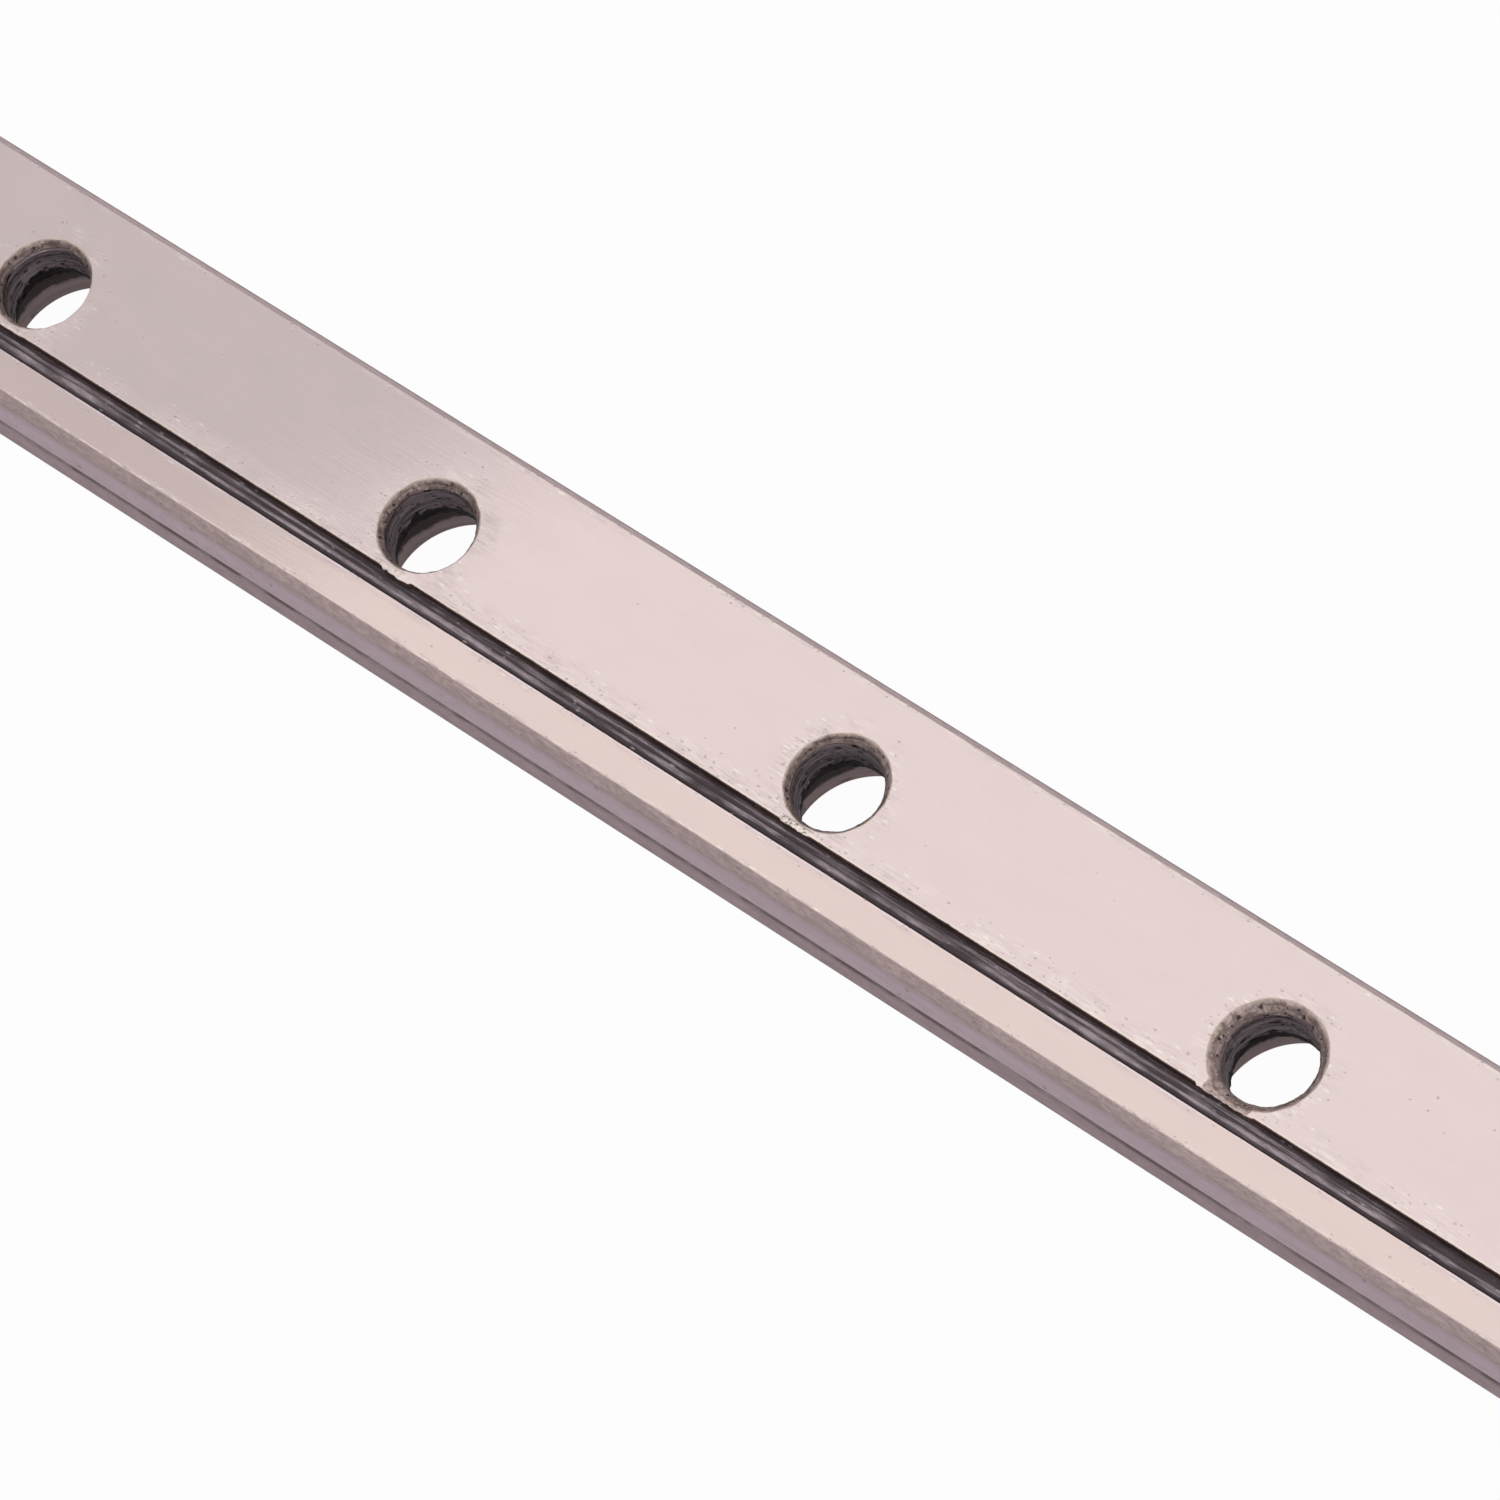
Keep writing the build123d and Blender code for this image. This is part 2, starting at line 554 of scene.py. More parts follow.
def grinding_lines_group():
    """Fine lines along X: places in millimetres, lines per millimetre, length over width."""
    names = ["Place", "Fineness", "Length"]
    group, n, inside, outside = new_group("grinding_lines", names, ["Lines"])
    along = n.math("DIVIDE", inside["Fineness"], inside["Length"])
    scale = n.add("ShaderNodeCombineXYZ", {0: along, 1: inside["Fineness"], 2: inside["Fineness"]})
    place = n.stretched(inside["Place"], scale)
    fine = n.noise(place, detail=3.0, rough=0.65)
    broad = n.noise(n.stretched(place, (0.5, 0.17, 0.17)), detail=2.0)
    both = n.plus(n.times(fine, 0.65), n.times(broad, 0.35))
    n.give(outside["Lines"], n.steps(both, 0.3, 0.7))
    return group


def specks_group():
    """Small spots of differing size. Amount is the share of the cells that have one."""
    names = ["Place", "Fineness", "Length", "Amount"]
    group, n, inside, outside = new_group("specks", names, ["Specks"])
    along = n.math("DIVIDE", inside["Fineness"], inside["Length"])
    scale = n.add("ShaderNodeCombineXYZ", {0: along, 1: inside["Fineness"], 2: inside["Fineness"]})
    cells = {"Vector": n.stretched(inside["Place"], scale), "Scale": 1.0}
    chances = n.add("ShaderNodeTexVoronoi", cells, outlet="Color")
    chance, size = n.split(chances)[:2]
    size = n.plus(0.20, n.times(size, 0.32))
    spot = n.steps(chances.node.outputs["Distance"], size, n.times(size, 0.35))
    n.give(outside["Specks"], n.times(spot, n.math("LESS_THAN", chance, inside["Amount"])))
    return group


def closeness_group():
    """1 on a line, falling to 0 at the reach."""
    group, n, inside, outside = new_group("closeness", ["Value", "Line", "Reach"], ["Near"])
    gap = n.math("ABSOLUTE", n.minus(inside["Value"], inside["Line"]))
    n.give(outside["Near"], n.minus(1.0, n.math("DIVIDE", gap, inside["Reach"]), clamp=True))
    return group


def hole_distance_group():
    """Distance in millimetres from the axis of the nearest screw hole, and the turn about it."""
    group, n, inside, outside = new_group("hole_distance", ["Place"], ["Radius", "Turn"])
    x, y = n.split(inside["Place"])[:2]
    shifted = n.plus(x, hole_pitch * (hole_count + 2) / 2)
    dx = n.minus(n.math("MODULO", shifted, hole_pitch), hole_pitch / 2)
    dy = n.minus(y, hole_row)
    square = n.plus(n.times(dx, dx), n.times(dy, dy))
    n.give(outside["Radius"], n.math("SQRT", square))
    n.give(outside["Turn"], n.math("ARCTAN2", dy, dx))
    return group


# How deep, in metres, a relief of height 1 is
relief_depth = 0.00002
# The lines along which the mounting face is worn: where across the bar, and how far from there
worn_lines = [(groove_far, 1.1), (groove_near, 0.35), (-4.06, 0.22), (4.25, 0.30)]
# The wall between the holes and the groove, where the metal is torn
torn_wall_start, torn_wall_end = -1.66, -1.76


def steel(name, paint):
    """A steel finish. paint(nodes, place) gives its colour, its relief and its roughness."""
    material = bpy.data.materials.new(name)
    material.use_nodes = True
    tree = material.node_tree
    tree.nodes.clear()
    n = Nodes(tree)
    spot = n.add("ShaderNodeTexCoord", outlet=3)
    place = n.stretched(spot, (1 / MM, 1 / MM, 1 / MM))
    colour, height, roughness = paint(n, place)
    shader = tree.nodes.new("ShaderNodeBsdfPrincipled")
    shader.inputs["Metallic"].default_value = 1.0
    n.give(shader.inputs["Base Color"], colour)
    n.give(shader.inputs["Roughness"], roughness)
    relief = {"Height": height, "Distance": relief_depth, "Strength": 1.0}
    n.give(shader.inputs["Normal"], n.add("ShaderNodeBump", relief))
    output = tree.nodes.new("ShaderNodeOutputMaterial")
    tree.links.new(shader.outputs[0], output.inputs[0])
    return material


def make_materials():
    """The ten finishes by name."""
    lines_of, specks_of = grinding_lines_group(), specks_group()
    near_line, hole_distance = closeness_group(), hole_distance_group()

    def near(n, value, line, reach):
        return n.group(near_line, {"Value": value, "Line": line, "Reach": reach})

    def lines(n, place, fineness, length):
        return n.group(lines_of, {"Place": place, "Fineness": fineness, "Length": length})

    def specks(n, place, fineness, length, amount):
        return n.group(
            specks_of, {"Place": place, "Fineness": fineness, "Length": length, "Amount": amount}
        )

    def face_paint(n, place):
        """Bright ground steel, worn beside its holes and edges, with a torn wall by the groove."""
        x, y = n.split(place)[:2]
        grain = lines(n, place, 16.0, 70.0)
        scratches = lines(n, n.moved(place, (17.0, 5.0, 0.0)), 13.0, 9.0)
        long_place = n.stretched(place, (0.5, 1.0, 1.0))
        clouds = n.noise(long_place, detail=4.0, rough=0.6, scale=0.7)
        radius = n.group(hole_distance, {"Place": place})
        edges = near(n, radius, bore_radius + countersink_width, 0.9)
        for line, reach in worn_lines:
            edges = n.math("MAXIMUM", edges, near(n, y, line, reach))
        zones = n.steps(n.noise(place, detail=2.0, scale=0.6), 0.36, 0.62, 0.15, 1.0)
        worn = n.times(edges, zones)
        pits = specks(n, place, 8.5, 1.9, n.times(worn, 0.40))
        bright = specks(n, n.moved(place, (31.0, 7.0, 3.0)), 8.0, 4.0, n.times(worn, 0.42))
        strays = specks(n, n.moved(place, (3.0, 41.0, 9.0)), 7.0, 1.4, 0.004)
        warm = n.steps(y, -2.0, -3.0)
        colour = n.mix(warm, (0.745, 0.686, 0.653, 1), (0.733, 0.661, 0.601, 1))
        colour = n.mix(n.steps(clouds, 0.35, 0.68, 0.0, 0.10), colour, (0.558, 0.526, 0.508, 1))
        colour = n.cover(colour, grain, 0.04, (0.481, 0.442, 0.415, 1))
        dark_line = n.times(worn, n.steps(scratches, 0.55, 0.95))
        bright_line = n.times(worn, n.steps(scratches, 0.45, 0.10))
        colour = n.cover(colour, dark_line, 0.40, (0.442, 0.389, 0.363, 1))
        colour = n.cover(colour, bright_line, 0.55, (0.904, 0.895, 0.808, 1))
        colour = n.cover(colour, pits, 0.27, (0.231, 0.189, 0.176, 1))
        colour = n.cover(colour, strays, 0.45, (0.231, 0.189, 0.176, 1))
        colour = n.cover(colour, bright, 0.60, (0.913, 0.926, 0.850, 1))
        beside = n.times(near(n, y, groove_near - 0.10, 0.26), n.times(zones, 0.40))
        colour = n.mix(beside, colour, (0.605, 0.552, 0.560, 1))
        cream_lip = n.times(near(n, y, groove_far + 0.05, 0.06), 0.55)
        lilac_lip = n.times(near(n, y, groove_near - 0.05, 0.05), n.times(zones, 0.8))
        colour = n.mix(cream_lip, colour, (0.865, 0.832, 0.715, 1))
        colour = n.mix(lilac_lip, colour, (0.846, 0.821, 0.870, 1))
        along = n.math("MODULO", n.plus(x, hole_pitch * hole_count / 2 + 0.1), hole_pitch)
        burr = n.steps(near(n, along, hole_pitch / 2, 0.80), 0.0, 0.3)
        burr = n.times(burr, n.steps(y, torn_wall_start, torn_wall_end))
        burr = n.times(burr, n.math("GREATER_THAN", y, groove_near + 0.4))
        # It is worst at the hole at x = 10
        worst = n.math("COMPARE", x, hole_pitch / 2, hole_pitch / 2)
        burr = n.times(burr, n.plus(0.25, n.times(worst, 0.75)))
        lumps = n.noise(place, detail=2.0, rough=0.6, scale=7.0)
        colour = n.mix(n.times(burr, n.steps(lumps, 0.45, 0.52)), colour, (0.913, 0.905, 0.798, 1))
        colour = n.mix(n.times(burr, n.steps(lumps, 0.42, 0.36)), colour, (0.212, 0.168, 0.135, 1))
        height = n.plus(n.times(grain, 0.02), n.times(dark_line, -0.10))
        height = n.minus(height, n.times(pits, 0.25))
        height = n.plus(height, n.times(burr, n.times(lumps, 2.5)))
        rough = n.plus(0.045, n.times(worn, 0.11))
        return colour, height, n.plus(rough, n.times(burr, 0.2))

    def side_paint(n, place):
        """Ground sides: faint bands along the bar, cloudy, darker under the chamfer, with nicks,
        painted shade along the bend under the chamfer and a painted highlight above the raceway's lip.
        """
        z = n.split(place)[2]
        grain = lines(n, place, 8.0, 60.0)
        bands = lines(n, n.moved(place, (0, 3, 2)), 1.8, 14.0)
        tall = n.stretched(place, (1.0, 1.0, 0.35))
        clouds = n.noise(n.stretched(place, (0.35, 1, 0.8)), detail=4.0, rough=0.6, scale=0.9)
        nicks = specks(n, tall, 5.0, 1.6, 0.022)
        fine_nicks = specks(n, n.moved(tall, (5, 2, 8)), 8.0, 2.0, 0.07)
        cloudy = n.steps(clouds, 0.3, 0.7, 0.0, 0.6)
        colour = n.mix(cloudy, (0.654, 0.558, 0.632, 1), (0.519, 0.447, 0.492, 1))
        colour = n.cover(colour, bands, 0.40, (0.433, 0.384, 0.425, 1))
        colour = n.cover(colour, grain, 0.20, (0.404, 0.358, 0.383, 1))
        mottle = n.noise(n.stretched(place, (1.0, 1.0, 1.3)), detail=3.0, rough=0.7, scale=1.7)
        colour = n.mix(n.steps(mottle, 0.50, 0.72, 0.0, 0.45), colour, (0.365, 0.316, 0.345, 1))
        colour = n.mix(n.steps(mottle, 0.47, 0.28, 0.0, 0.35), colour, (0.769, 0.680, 0.745, 1))
        upper = n.steps(z, bar_height - datum_chamfer - 0.80, bar_height - datum_chamfer - 0.12)
        colour = n.cover(colour, upper, 0.70, (0.410, 0.345, 0.355, 1))
        # Painted shade: the side is darkened along the bend under the chamfer, over the light line its
        # rounded edge catches
        bend_shade = near(n, z, bar_height - datum_chamfer, 0.10)
        colour = n.cover(colour, bend_shade, 0.50, (0.288, 0.248, 0.262, 1))
        # Painted highlight: the side is lightened in a cloudy band just above the raceway's lip
        lip = n.times(near(n, z, 2.98, 0.34), n.steps(clouds, 0.35, 0.60, 0.10, 0.45))
        colour = n.mix(lip, colour, (0.788, 0.695, 0.760, 1))
        colour = n.cover(colour, fine_nicks, 0.40, (0.192, 0.168, 0.187, 1))
        colour = n.cover(colour, nicks, 0.8, (0.077, 0.063, 0.073, 1))
        height = n.minus(n.times(grain, 0.06), n.times(nicks, 0.4))
        return colour, height, 0.22

    def head_paint(n, place):
        """The darker sides under the raceways, with painted shade along their top under the raceway.
        """
        z = n.split(place)[2]
        grain = lines(n, place, 5.0, 120.0)
        fine = lines(n, n.moved(place, (0, 5, 9)), 15.0, 90.0)
        nicks = specks(n, place, 6.0, 3.0, 0.015)
        mottle = n.noise(n.stretched(place, (0.8, 1.0, 1.2)), detail=3.0, rough=0.7, scale=1.5)
        # Painted shade: the head side is darkened along its top, under the raceway's overhang
        under_lip = n.steps(z, 1.25, 1.55)
        colour = n.mix(n.times(grain, 0.45), (0.519, 0.426, 0.446, 1), (0.298, 0.242, 0.254, 1))
        colour = n.cover(colour, fine, 0.35, (0.212, 0.174, 0.181, 1))
        colour = n.mix(n.steps(mottle, 0.48, 0.70, 0.0, 0.50), colour, (0.231, 0.187, 0.196, 1))
        colour = n.mix(n.steps(mottle, 0.48, 0.30, 0.0, 0.35), colour, (0.615, 0.515, 0.538, 1))
        colour = n.cover(colour, under_lip, 0.4, (0.154, 0.126, 0.130, 1))
        colour = n.cover(colour, nicks, 0.6, (0.115, 0.095, 0.098, 1))
        return colour, n.times(grain, 0.12), 0.25

    def raceway_paint(n, place):
        """Fine ground raceways, with painted shade along their foot under the side's lip."""
        z = n.split(place)[2]
        grain = lines(n, place, 24.0, 80.0)
        colour = n.mix(n.times(grain, 0.3), (0.692, 0.684, 0.674, 1), (0.481, 0.463, 0.456, 1))
        # Painted shade: the raceway's lower part, deep under the side's lip, is darkened unevenly
        # along the bar
        raceway_shade = n.noise(n.stretched(place, (0.4, 1.0, 1.0)), detail=3.0, scale=1.5)
        raceway_shade = n.times(n.steps(z, 2.0, 1.80), n.steps(raceway_shade, 0.3, 0.6, 0.55, 0.97))
        colour = n.mix(raceway_shade, colour, (0.190, 0.157, 0.155, 1))
        return colour, n.times(grain, 0.05), 0.14

    def chamfer_paint(n, place):
        """Coarser ground chamfers, darker on the far side as painted shade, with painted shade along
        the bend to the side and a painted highlight along their top.
        """
        y, z = n.split(place)[1:3]
        slant = n.add("ShaderNodeMapping", {"Vector": place, "Rotation": (0.0, 0.0, 0.17)})
        marks = lines(n, slant, 9.0, 22.0)
        fine = n.noise(n.stretched(place, (0.30, 1.0, 1.0)), detail=3.0, rough=0.7, scale=9.0)
        pits = specks(n, place, 8.0, 2.4, 0.20)
        flecks = specks(n, n.moved(place, (6, 9, 4)), 7.0, 2.2, 0.16)
        down = n.steps(z, bar_height, bar_height - datum_chamfer, 0.0, 0.30)
        colour = n.mix(down, (0.875, 0.775, 0.735, 1), (0.565, 0.505, 0.503, 1))
        colour = n.cover(colour, marks, 0.52, (0.442, 0.411, 0.383, 1))
        colour = n.mix(n.steps(fine, 0.38, 0.66, 0.0, 0.50), colour, (0.423, 0.395, 0.373, 1))
        colour = n.cover(colour, pits, 0.32, (0.240, 0.211, 0.187, 1))
        colour = n.cover(colour, flecks, 0.30, (0.885, 0.884, 0.788, 1))
        # Painted shade: the chamfer on the far side is darkened, its upper part much more
        far = n.math("GREATER_THAN", y, 0.0)
        colour = n.cover(colour, far, 0.30, (0.385, 0.379, 0.399, 1))
        shade = n.times(far, n.steps(z, bar_height - 0.16, bar_height - far_chamfer + 0.01))
        colour = n.cover(colour, shade, 0.7, (0.135, 0.126, 0.135, 1))
        # Painted shade along the bend to the side below, over the light line its rounded edge catches
        bend_shade = near(n, z, bar_height - datum_chamfer, 0.08)
        colour = n.cover(colour, bend_shade, 0.55, (0.365, 0.325, 0.335, 1))
        glint = n.steps(z, bar_height - 0.022, bar_height - 0.006)
        colour = n.cover(colour, glint, 0.5, (0.913, 0.916, 0.829, 1))
        height = n.plus(n.times(marks, 0.15), n.times(fine, 0.25))
        return colour, height, 0.30

    def groove_paint(n, place):
        """The marking groove: dark walls, brown on the far side, and streaks on a ridged floor, with
        painted highlights on the ridges, painted shade along the near wall's foot and a painted
        reflection of the far wall on the floor before it.
        """
        y, z = n.split(place)[1:3]
        streaks = n.steps(lines(n, place, 6.0, 45.0), 0.15, 0.85)
        thin = n.steps(lines(n, n.moved(place, (9, 4, 1)), 13.0, 30.0), 0.15, 0.85)
        fine = n.steps(lines(n, n.moved(place, (3, 8, 5)), 9.0, 6.0), 0.2, 0.9)
        flakes = specks(n, place, 7.5, 2.6, 0.08)
        patches = n.noise(n.stretched(place, (0.5, 1, 1)), detail=2.0, scale=1.0)
        ridge = n.steps(near(n, y, groove_near + 0.33, 0.15), 0.0, 0.9)
        second = n.steps(near(n, y, groove_near + 0.60, 0.11), 0.0, 0.9)
        lit = n.times(ridge, n.steps(patches, 0.25, 0.6, 0.62, 1.0))
        lit = n.plus(lit, n.times(second, 0.36))
        lit = n.plus(lit, n.steps(patches, 0.30, 0.66, -0.16, 0.20))
        lit = n.plus(lit, n.times(n.minus(streaks, 0.6), 0.70))
        lit = n.plus(lit, n.times(n.minus(thin, 0.5), 0.60), clamp=True)
        colour = n.mix(lit, (0.101, 0.089, 0.095, 1), (0.481, 0.447, 0.461, 1))
        colour = n.cover(colour, fine, 0.45, (0.096, 0.082, 0.083, 1))
        # Painted shade: the near wall and the floor along its foot are darkened nearly to black
        near_wall = n.steps(y, groove_near + 0.20, groove_near + 0.11)
        colour = n.mix(near_wall, colour, (0.058, 0.048, 0.052, 1))
        # The far wall's own dark brown, and the same dark brown on the floor strip before it as a
        # painted reflection of the wall
        brown = n.mix(fine, (0.158, 0.120, 0.118, 1), (0.092, 0.071, 0.074, 1))
        far_wall = n.steps(y, groove_far - 0.16, groove_far - 0.07)
        colour = n.mix(far_wall, colour, brown)
        edge = n.plus(z, n.times(fine, 0.06))
        top = n.times(far_wall, n.steps(edge, bar_height - 0.24, bar_height - 0.03))
        colour = n.mix(top, colour, (0.370, 0.270, 0.205, 1))
        colour = n.cover(colour, flakes, 0.55, (0.596, 0.600, 0.601, 1))
        height = n.plus(n.times(streaks, 0.3), n.times(fine, 0.3))
        return colour, n.plus(height, n.times(thin, 0.25)), 0.55

    def about_hole(n, place, tilt):
        """Places round a screw hole: round it, up with a climb to each turn, and which hole."""
        turn = n.group(hole_distance, {"Place": place}, outlet=1)
        x, _, z = n.split(place)[:3]
        which = n.math("ROUND", n.math("DIVIDE", n.plus(x, hole_pitch / 2), hole_pitch))
        climb = n.plus(z, n.times(turn, tilt))
        round_about = n.times(turn, bore_radius)
        values = {0: round_about, 1: climb, 2: n.times(which, 7.3)}
        return n.add("ShaderNodeCombineXYZ", values), z

    def countersink_paint(n, place):
        """Torn, blotchy countersinks, pale at the mouth from painted light with a painted highlight on
        the rim, and dark at the foot.
        """
        polar, z = about_hole(n, place, 0.0)
        turned = lines(n, polar, 14.0, 10.0)
        blotches = n.noise(place, detail=4.0, rough=0.75, scale=3.2)
        fine = n.noise(place, detail=2.0, rough=0.6, scale=16.0)
        cracks = specks(n, n.moved(place, n.noise_shift(place, 0.20)), 4.0, 1.0, 0.62)
        flakes = specks(n, n.moved(place, (8, 3, 5)), 6.5, 1.2, 0.50)
        colour = n.mix(n.steps(turned, 0.15, 0.85), (0.290, 0.242, 0.220, 1), (0.692, 0.610, 0.553, 1))
        colour = n.mix(n.steps(blotches, 0.38, 0.62, 0.0, 0.70), colour, (0.221, 0.184, 0.171, 1))
        colour = n.mix(n.steps(fine, 0.45, 0.75, 0.0, 0.5), colour, (0.538, 0.489, 0.451, 1))
        torn = n.plus(z, n.times(blotches, 0.30))
        foot = n.steps(torn, bar_height - 0.12, bar_height - 0.26)
        colour = n.cover(colour, foot, 0.65, (0.173, 0.153, 0.161, 1))
        colour = n.cover(colour, cracks, 0.85, (0.038, 0.029, 0.027, 1))
        colour = n.cover(colour, flakes, 0.6, (0.827, 0.789, 0.710, 1))
        # Painted light: the upper countersink is made pale, raggedly, and a painted highlight runs
        # along the rim
        mouth_light = n.steps(n.minus(z, n.times(blotches, 0.20)), bar_height - 0.26, bar_height - 0.10)
        colour = n.cover(colour, mouth_light, 0.80, (0.930, 0.845, 0.769, 1))
        rim = n.steps(z, bar_height - 0.035, bar_height - 0.010)
        colour = n.cover(colour, rim, 0.8, (0.885, 0.842, 0.725, 1))
        height = n.plus(n.times(turned, 0.5), n.times(blotches, 1.6))
        height = n.minus(height, n.times(cracks, 0.8))
        return colour, height, 0.75

    def bore_paint(n, place):
        """Drilled bores: turned lines, groups of pits and painted shade over the lower part, with a
        ragged edge.
        """
        polar, z = about_hole(n, place, 0.045)
        turned = lines(n, polar, 7.0, 26.0)
        fine = lines(n, n.moved(polar, (4, 6, 1)), 16.0, 14.0)
        groups = n.steps(n.noise(polar, detail=2.0, scale=1.3), 0.38, 0.58, 0.45, 1.0)
        pits = specks(n, n.moved(polar, n.noise_shift(polar, 0.16)), 3.2, 2.0, groups)
        small_pits = specks(n, n.moved(polar, (3, 7, 9)), 6.0, 1.8, groups)
        flakes = specks(n, n.moved(polar, (9, 4, 2)), 7.0, 2.0, 0.10)
        ragged = n.noise(n.stretched(polar, (1.1, 0.8, 1.0)), detail=4.0, rough=0.65)
        colour = n.mix(n.steps(turned, 0.2, 0.8), (0.269, 0.232, 0.249, 1), (0.827, 0.753, 0.808, 1))
        colour = n.cover(colour, fine, 0.45, (0.192, 0.163, 0.171, 1))
        colour = n.cover(colour, flakes, 0.6, (0.817, 0.800, 0.788, 1))
        colour = n.cover(colour, small_pits, 0.75, (0.031, 0.024, 0.024, 1))
        colour = n.cover(colour, pits, 0.92, (0.019, 0.015, 0.015, 1))
        # Painted shade: the bore's lower part is darkened nearly to black with a ragged edge, reaching
        # higher on one side
        turn = n.group(hole_distance, {"Place": place}, outlet=1)
        lean = n.times(n.math("COSINE", n.minus(turn, 2.0)), 0.16)
        foot = n.minus(n.plus(z, n.times(ragged, 1.5)), lean)
        foot = n.steps(foot, counterbore_depth + 1.20, counterbore_depth + 1.08)
        colour = n.cover(colour, foot, 0.95, (0.024, 0.018, 0.019, 1))
        lip = n.times(n.steps(z, counterbore_depth + 0.09, counterbore_depth + 0.03), flakes)
        colour = n.mix(lip, colour, (0.769, 0.758, 0.725, 1))
        height = n.plus(n.times(turned, 1.2), n.times(fine, 0.4))
        return colour, n.minus(height, n.times(pits, 1.6)), 0.42

    def counterbore_paint(n, place):
        """Turned counterbores, dark under their ceiling."""
        polar, z = about_hole(n, place, 0.0)
        turned = lines(n, polar, 7.0, 24.0)
        pits = specks(n, polar, 4.0, 2.2, 0.06)
        colour = n.mix(turned, (0.540, 0.437, 0.436, 1), (0.769, 0.650, 0.632, 1))
        colour = n.cover(colour, pits, 0.7, (0.115, 0.095, 0.093, 1))
        ragged = n.noise(n.stretched(polar, (1.1, 0.8, 1.0)), detail=4.0, rough=0.65)
        shade = n.steps(n.plus(z, n.times(ragged, 1.0)), 1.20, 1.50)
        colour = n.cover(colour, shade, 0.85, (0.038, 0.029, 0.030, 1))
        return colour, n.times(turned, 0.5), 0.40

    def end_paint(n, place):
        """Sawn and lightly burnt ends."""
        x, y, z = n.split(place)[:3]
        turned = n.add("ShaderNodeCombineXYZ", {0: y, 1: z, 2: x})
        marks = lines(n, turned, 12.0, 24.0)
        burnt = n.noise(place, detail=3.0, scale=0.5)
        colour = n.mix(marks, (0.635, 0.632, 0.591, 1), (0.423, 0.411, 0.383, 1))
        colour = n.mix(n.steps(burnt, 0.45, 0.75, 0.0, 0.4), colour, (0.404, 0.358, 0.280, 1))
        return colour, n.times(marks, 0.4), 0.32

    paints = {
        "ground_face": face_paint,
        "marking_groove": groove_paint,
        "chamfer": chamfer_paint,
        "ground_side": side_paint,
        "head_side": head_paint,
        "raceway": raceway_paint,
        "countersink": countersink_paint,
        "drilled_bore": bore_paint,
        "counterbore": counterbore_paint,
        "cut_end": end_paint,
    }
    return {name: steel(name, paint) for name, paint in paints.items()}


# Floor, light and camera


# The floor's half width and how far it lies under the bar
floor_reach, floor_gap = 3000.0, 0.02
floor_colour = (0.80, 0.74, 0.755, 1)
# How far the floor and the sky turn to plain white, as the camera and as the steel see them
floor_white_seen = 0.97
floor_white_in_steel = 0.12
sky_white_in_steel = 0.02


def make_floor():
    """A plain pale floor, almost white to the camera."""
    bm = bmesh.new()
    bmesh.ops.create_grid(bm, x_segments=1, y_segments=1, size=floor_reach)
    bmesh.ops.translate(bm, verts=bm.verts[:], vec=(0, 0, -floor_gap))
    bmesh.ops.scale(bm, verts=bm.verts[:], vec=(MM, MM, MM))
    material = bpy.data.materials.new("pale_floor")
    material.use_nodes = True
    tree = material.node_tree
    tree.nodes.clear()
    n = Nodes(tree)
    rays = tree.nodes.new("ShaderNodeLightPath").outputs
    seen = n.plus(rays["Is Camera Ray"], rays["Is Transmission Ray"])
    share = n.times(seen, floor_white_seen)
    share = n.plus(share, n.times(rays["Is Glossy Ray"], floor_white_in_steel))
    matt = n.add("ShaderNodeBsdfDiffuse", {"Color": floor_colour})
    glow = n.add("ShaderNodeEmission", {"Color": (1, 1, 1, 1), "Strength": 1.0})
    both = n.add("ShaderNodeMixShader", {0: share, 1: matt, 2: glow})
    tree.links.new(both, tree.nodes.new("ShaderNodeOutputMaterial").inputs[0])
    floor = as_object("floor", bm, [material])


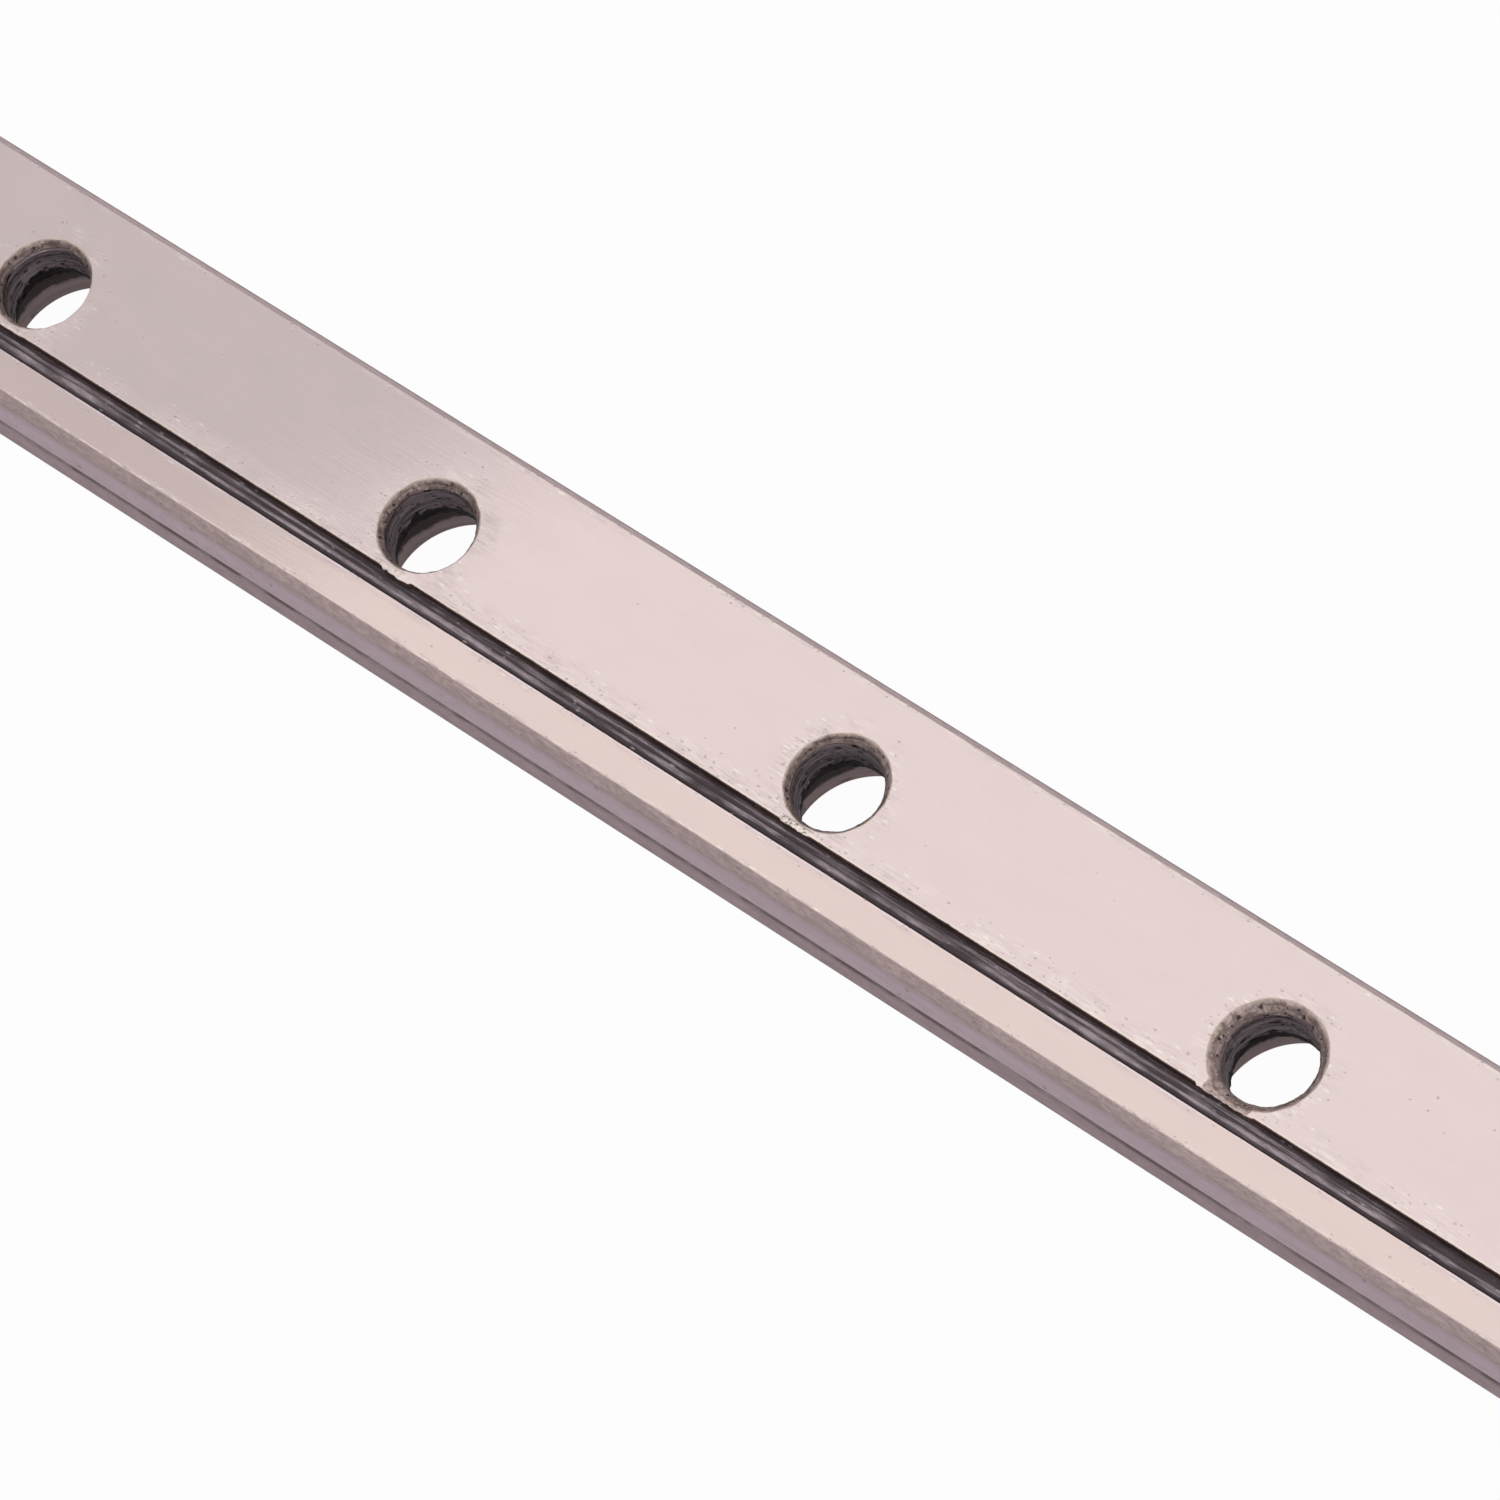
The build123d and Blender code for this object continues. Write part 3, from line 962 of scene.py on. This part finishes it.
def make_sky():
    """Soft light from all round, brighter overhead than at the horizon."""
    world = bpy.data.worlds.new("studio")
    world.use_nodes = True
    bpy.context.scene.world = world
    tree = world.node_tree
    tree.nodes.clear()
    n = Nodes(tree)
    spot = n.add("ShaderNodeTexCoord", outlet=0)
    up = n.split(spot)[2]
    ramp = tree.nodes.new("ShaderNodeValToRGB")
    n.give(ramp.inputs[0], up)
    stops = ramp.color_ramp.elements
    stops[0].position, stops[0].color = 0.0, (0.350, 0.294, 0.308, 1)
    stops[1].position, stops[1].color = 1.0, (0.790, 0.712, 0.753, 1)
    middle = ramp.color_ramp.elements.new(0.30)
    middle.color = (0.433, 0.361, 0.375, 1)
    high = ramp.color_ramp.elements.new(0.75)
    high.color = (0.762, 0.684, 0.726, 1)
    rays = tree.nodes.new("ShaderNodeLightPath").outputs
    seen = n.plus(rays["Is Camera Ray"], rays["Is Transmission Ray"])
    share = n.plus(seen, n.times(rays["Is Glossy Ray"], sky_white_in_steel), clamp=True)
    colour = n.mix(share, ramp.outputs[0], (1, 1, 1, 1))
    shine = n.add("ShaderNodeBackground", {"Color": colour, "Strength": 1.0})
    tree.links.new(shine, tree.nodes.new("ShaderNodeOutputWorld").inputs[0])


def make_lamp(name, centre, turn, size, radiance, colour):
    """A flat soft lamp that looks straight down, its light given as the brightness it shows."""
    lamp = bpy.data.lights.new(name, "AREA")
    lamp.shape, lamp.size, lamp.size_y = "RECTANGLE", size[0], size[1]
    lamp.energy = math.pi * radiance * size[0] * size[1]
    lamp.color = colour
    held = bpy.data.objects.new(name, lamp)
    held.location = centre
    held.rotation_euler = (0, 0, turn)
    bpy.context.scene.collection.objects.link(held)


def make_camera():
    """The camera that was fitted to the photographed rail."""
    camera = bpy.data.cameras.new("camera")
    camera.sensor_width = 36.0
    camera.lens = 196.137
    camera.clip_start, camera.clip_end = 0.01, 20.0
    held = bpy.data.objects.new("camera", camera)
    held.location = (0.141192, -0.066960, 0.260879)
    held.rotation_euler = [math.radians(a) for a in (27.48308681, 13.72920202, 39.16663217)]
    bpy.context.scene.collection.objects.link(held)
    bpy.context.scene.camera = held


materials = make_materials()
bar_finishes = ["ground_face", "marking_groove", "chamfer", "ground_side", "head_side", "raceway"]
bar = make_bar({name: materials[name] for name in bar_finishes})
carve(bar, make_envelope(materials["cut_end"]), "INTERSECT")
carve(
    bar,
    make_holes(materials["countersink"], materials["drilled_bore"], materials["counterbore"]),
    "DIFFERENCE",
)
smooth_curves(bar, {"marking_groove", "raceway", "countersink", "drilled_bore", "counterbore"})
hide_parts("guide_rail")
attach(bar, "root")

make_floor()
make_sky()
make_lamp(
    "overhead_softbox",
    centre=(0.0983, 0.002, 0.60),
    turn=math.radians(-30.5),
    size=(0.96, 0.80),
    radiance=0.277,
    colour=(1.04, 0.94, 0.878),
)
make_camera()
bpy.context.scene.view_settings.view_transform = "Standard"
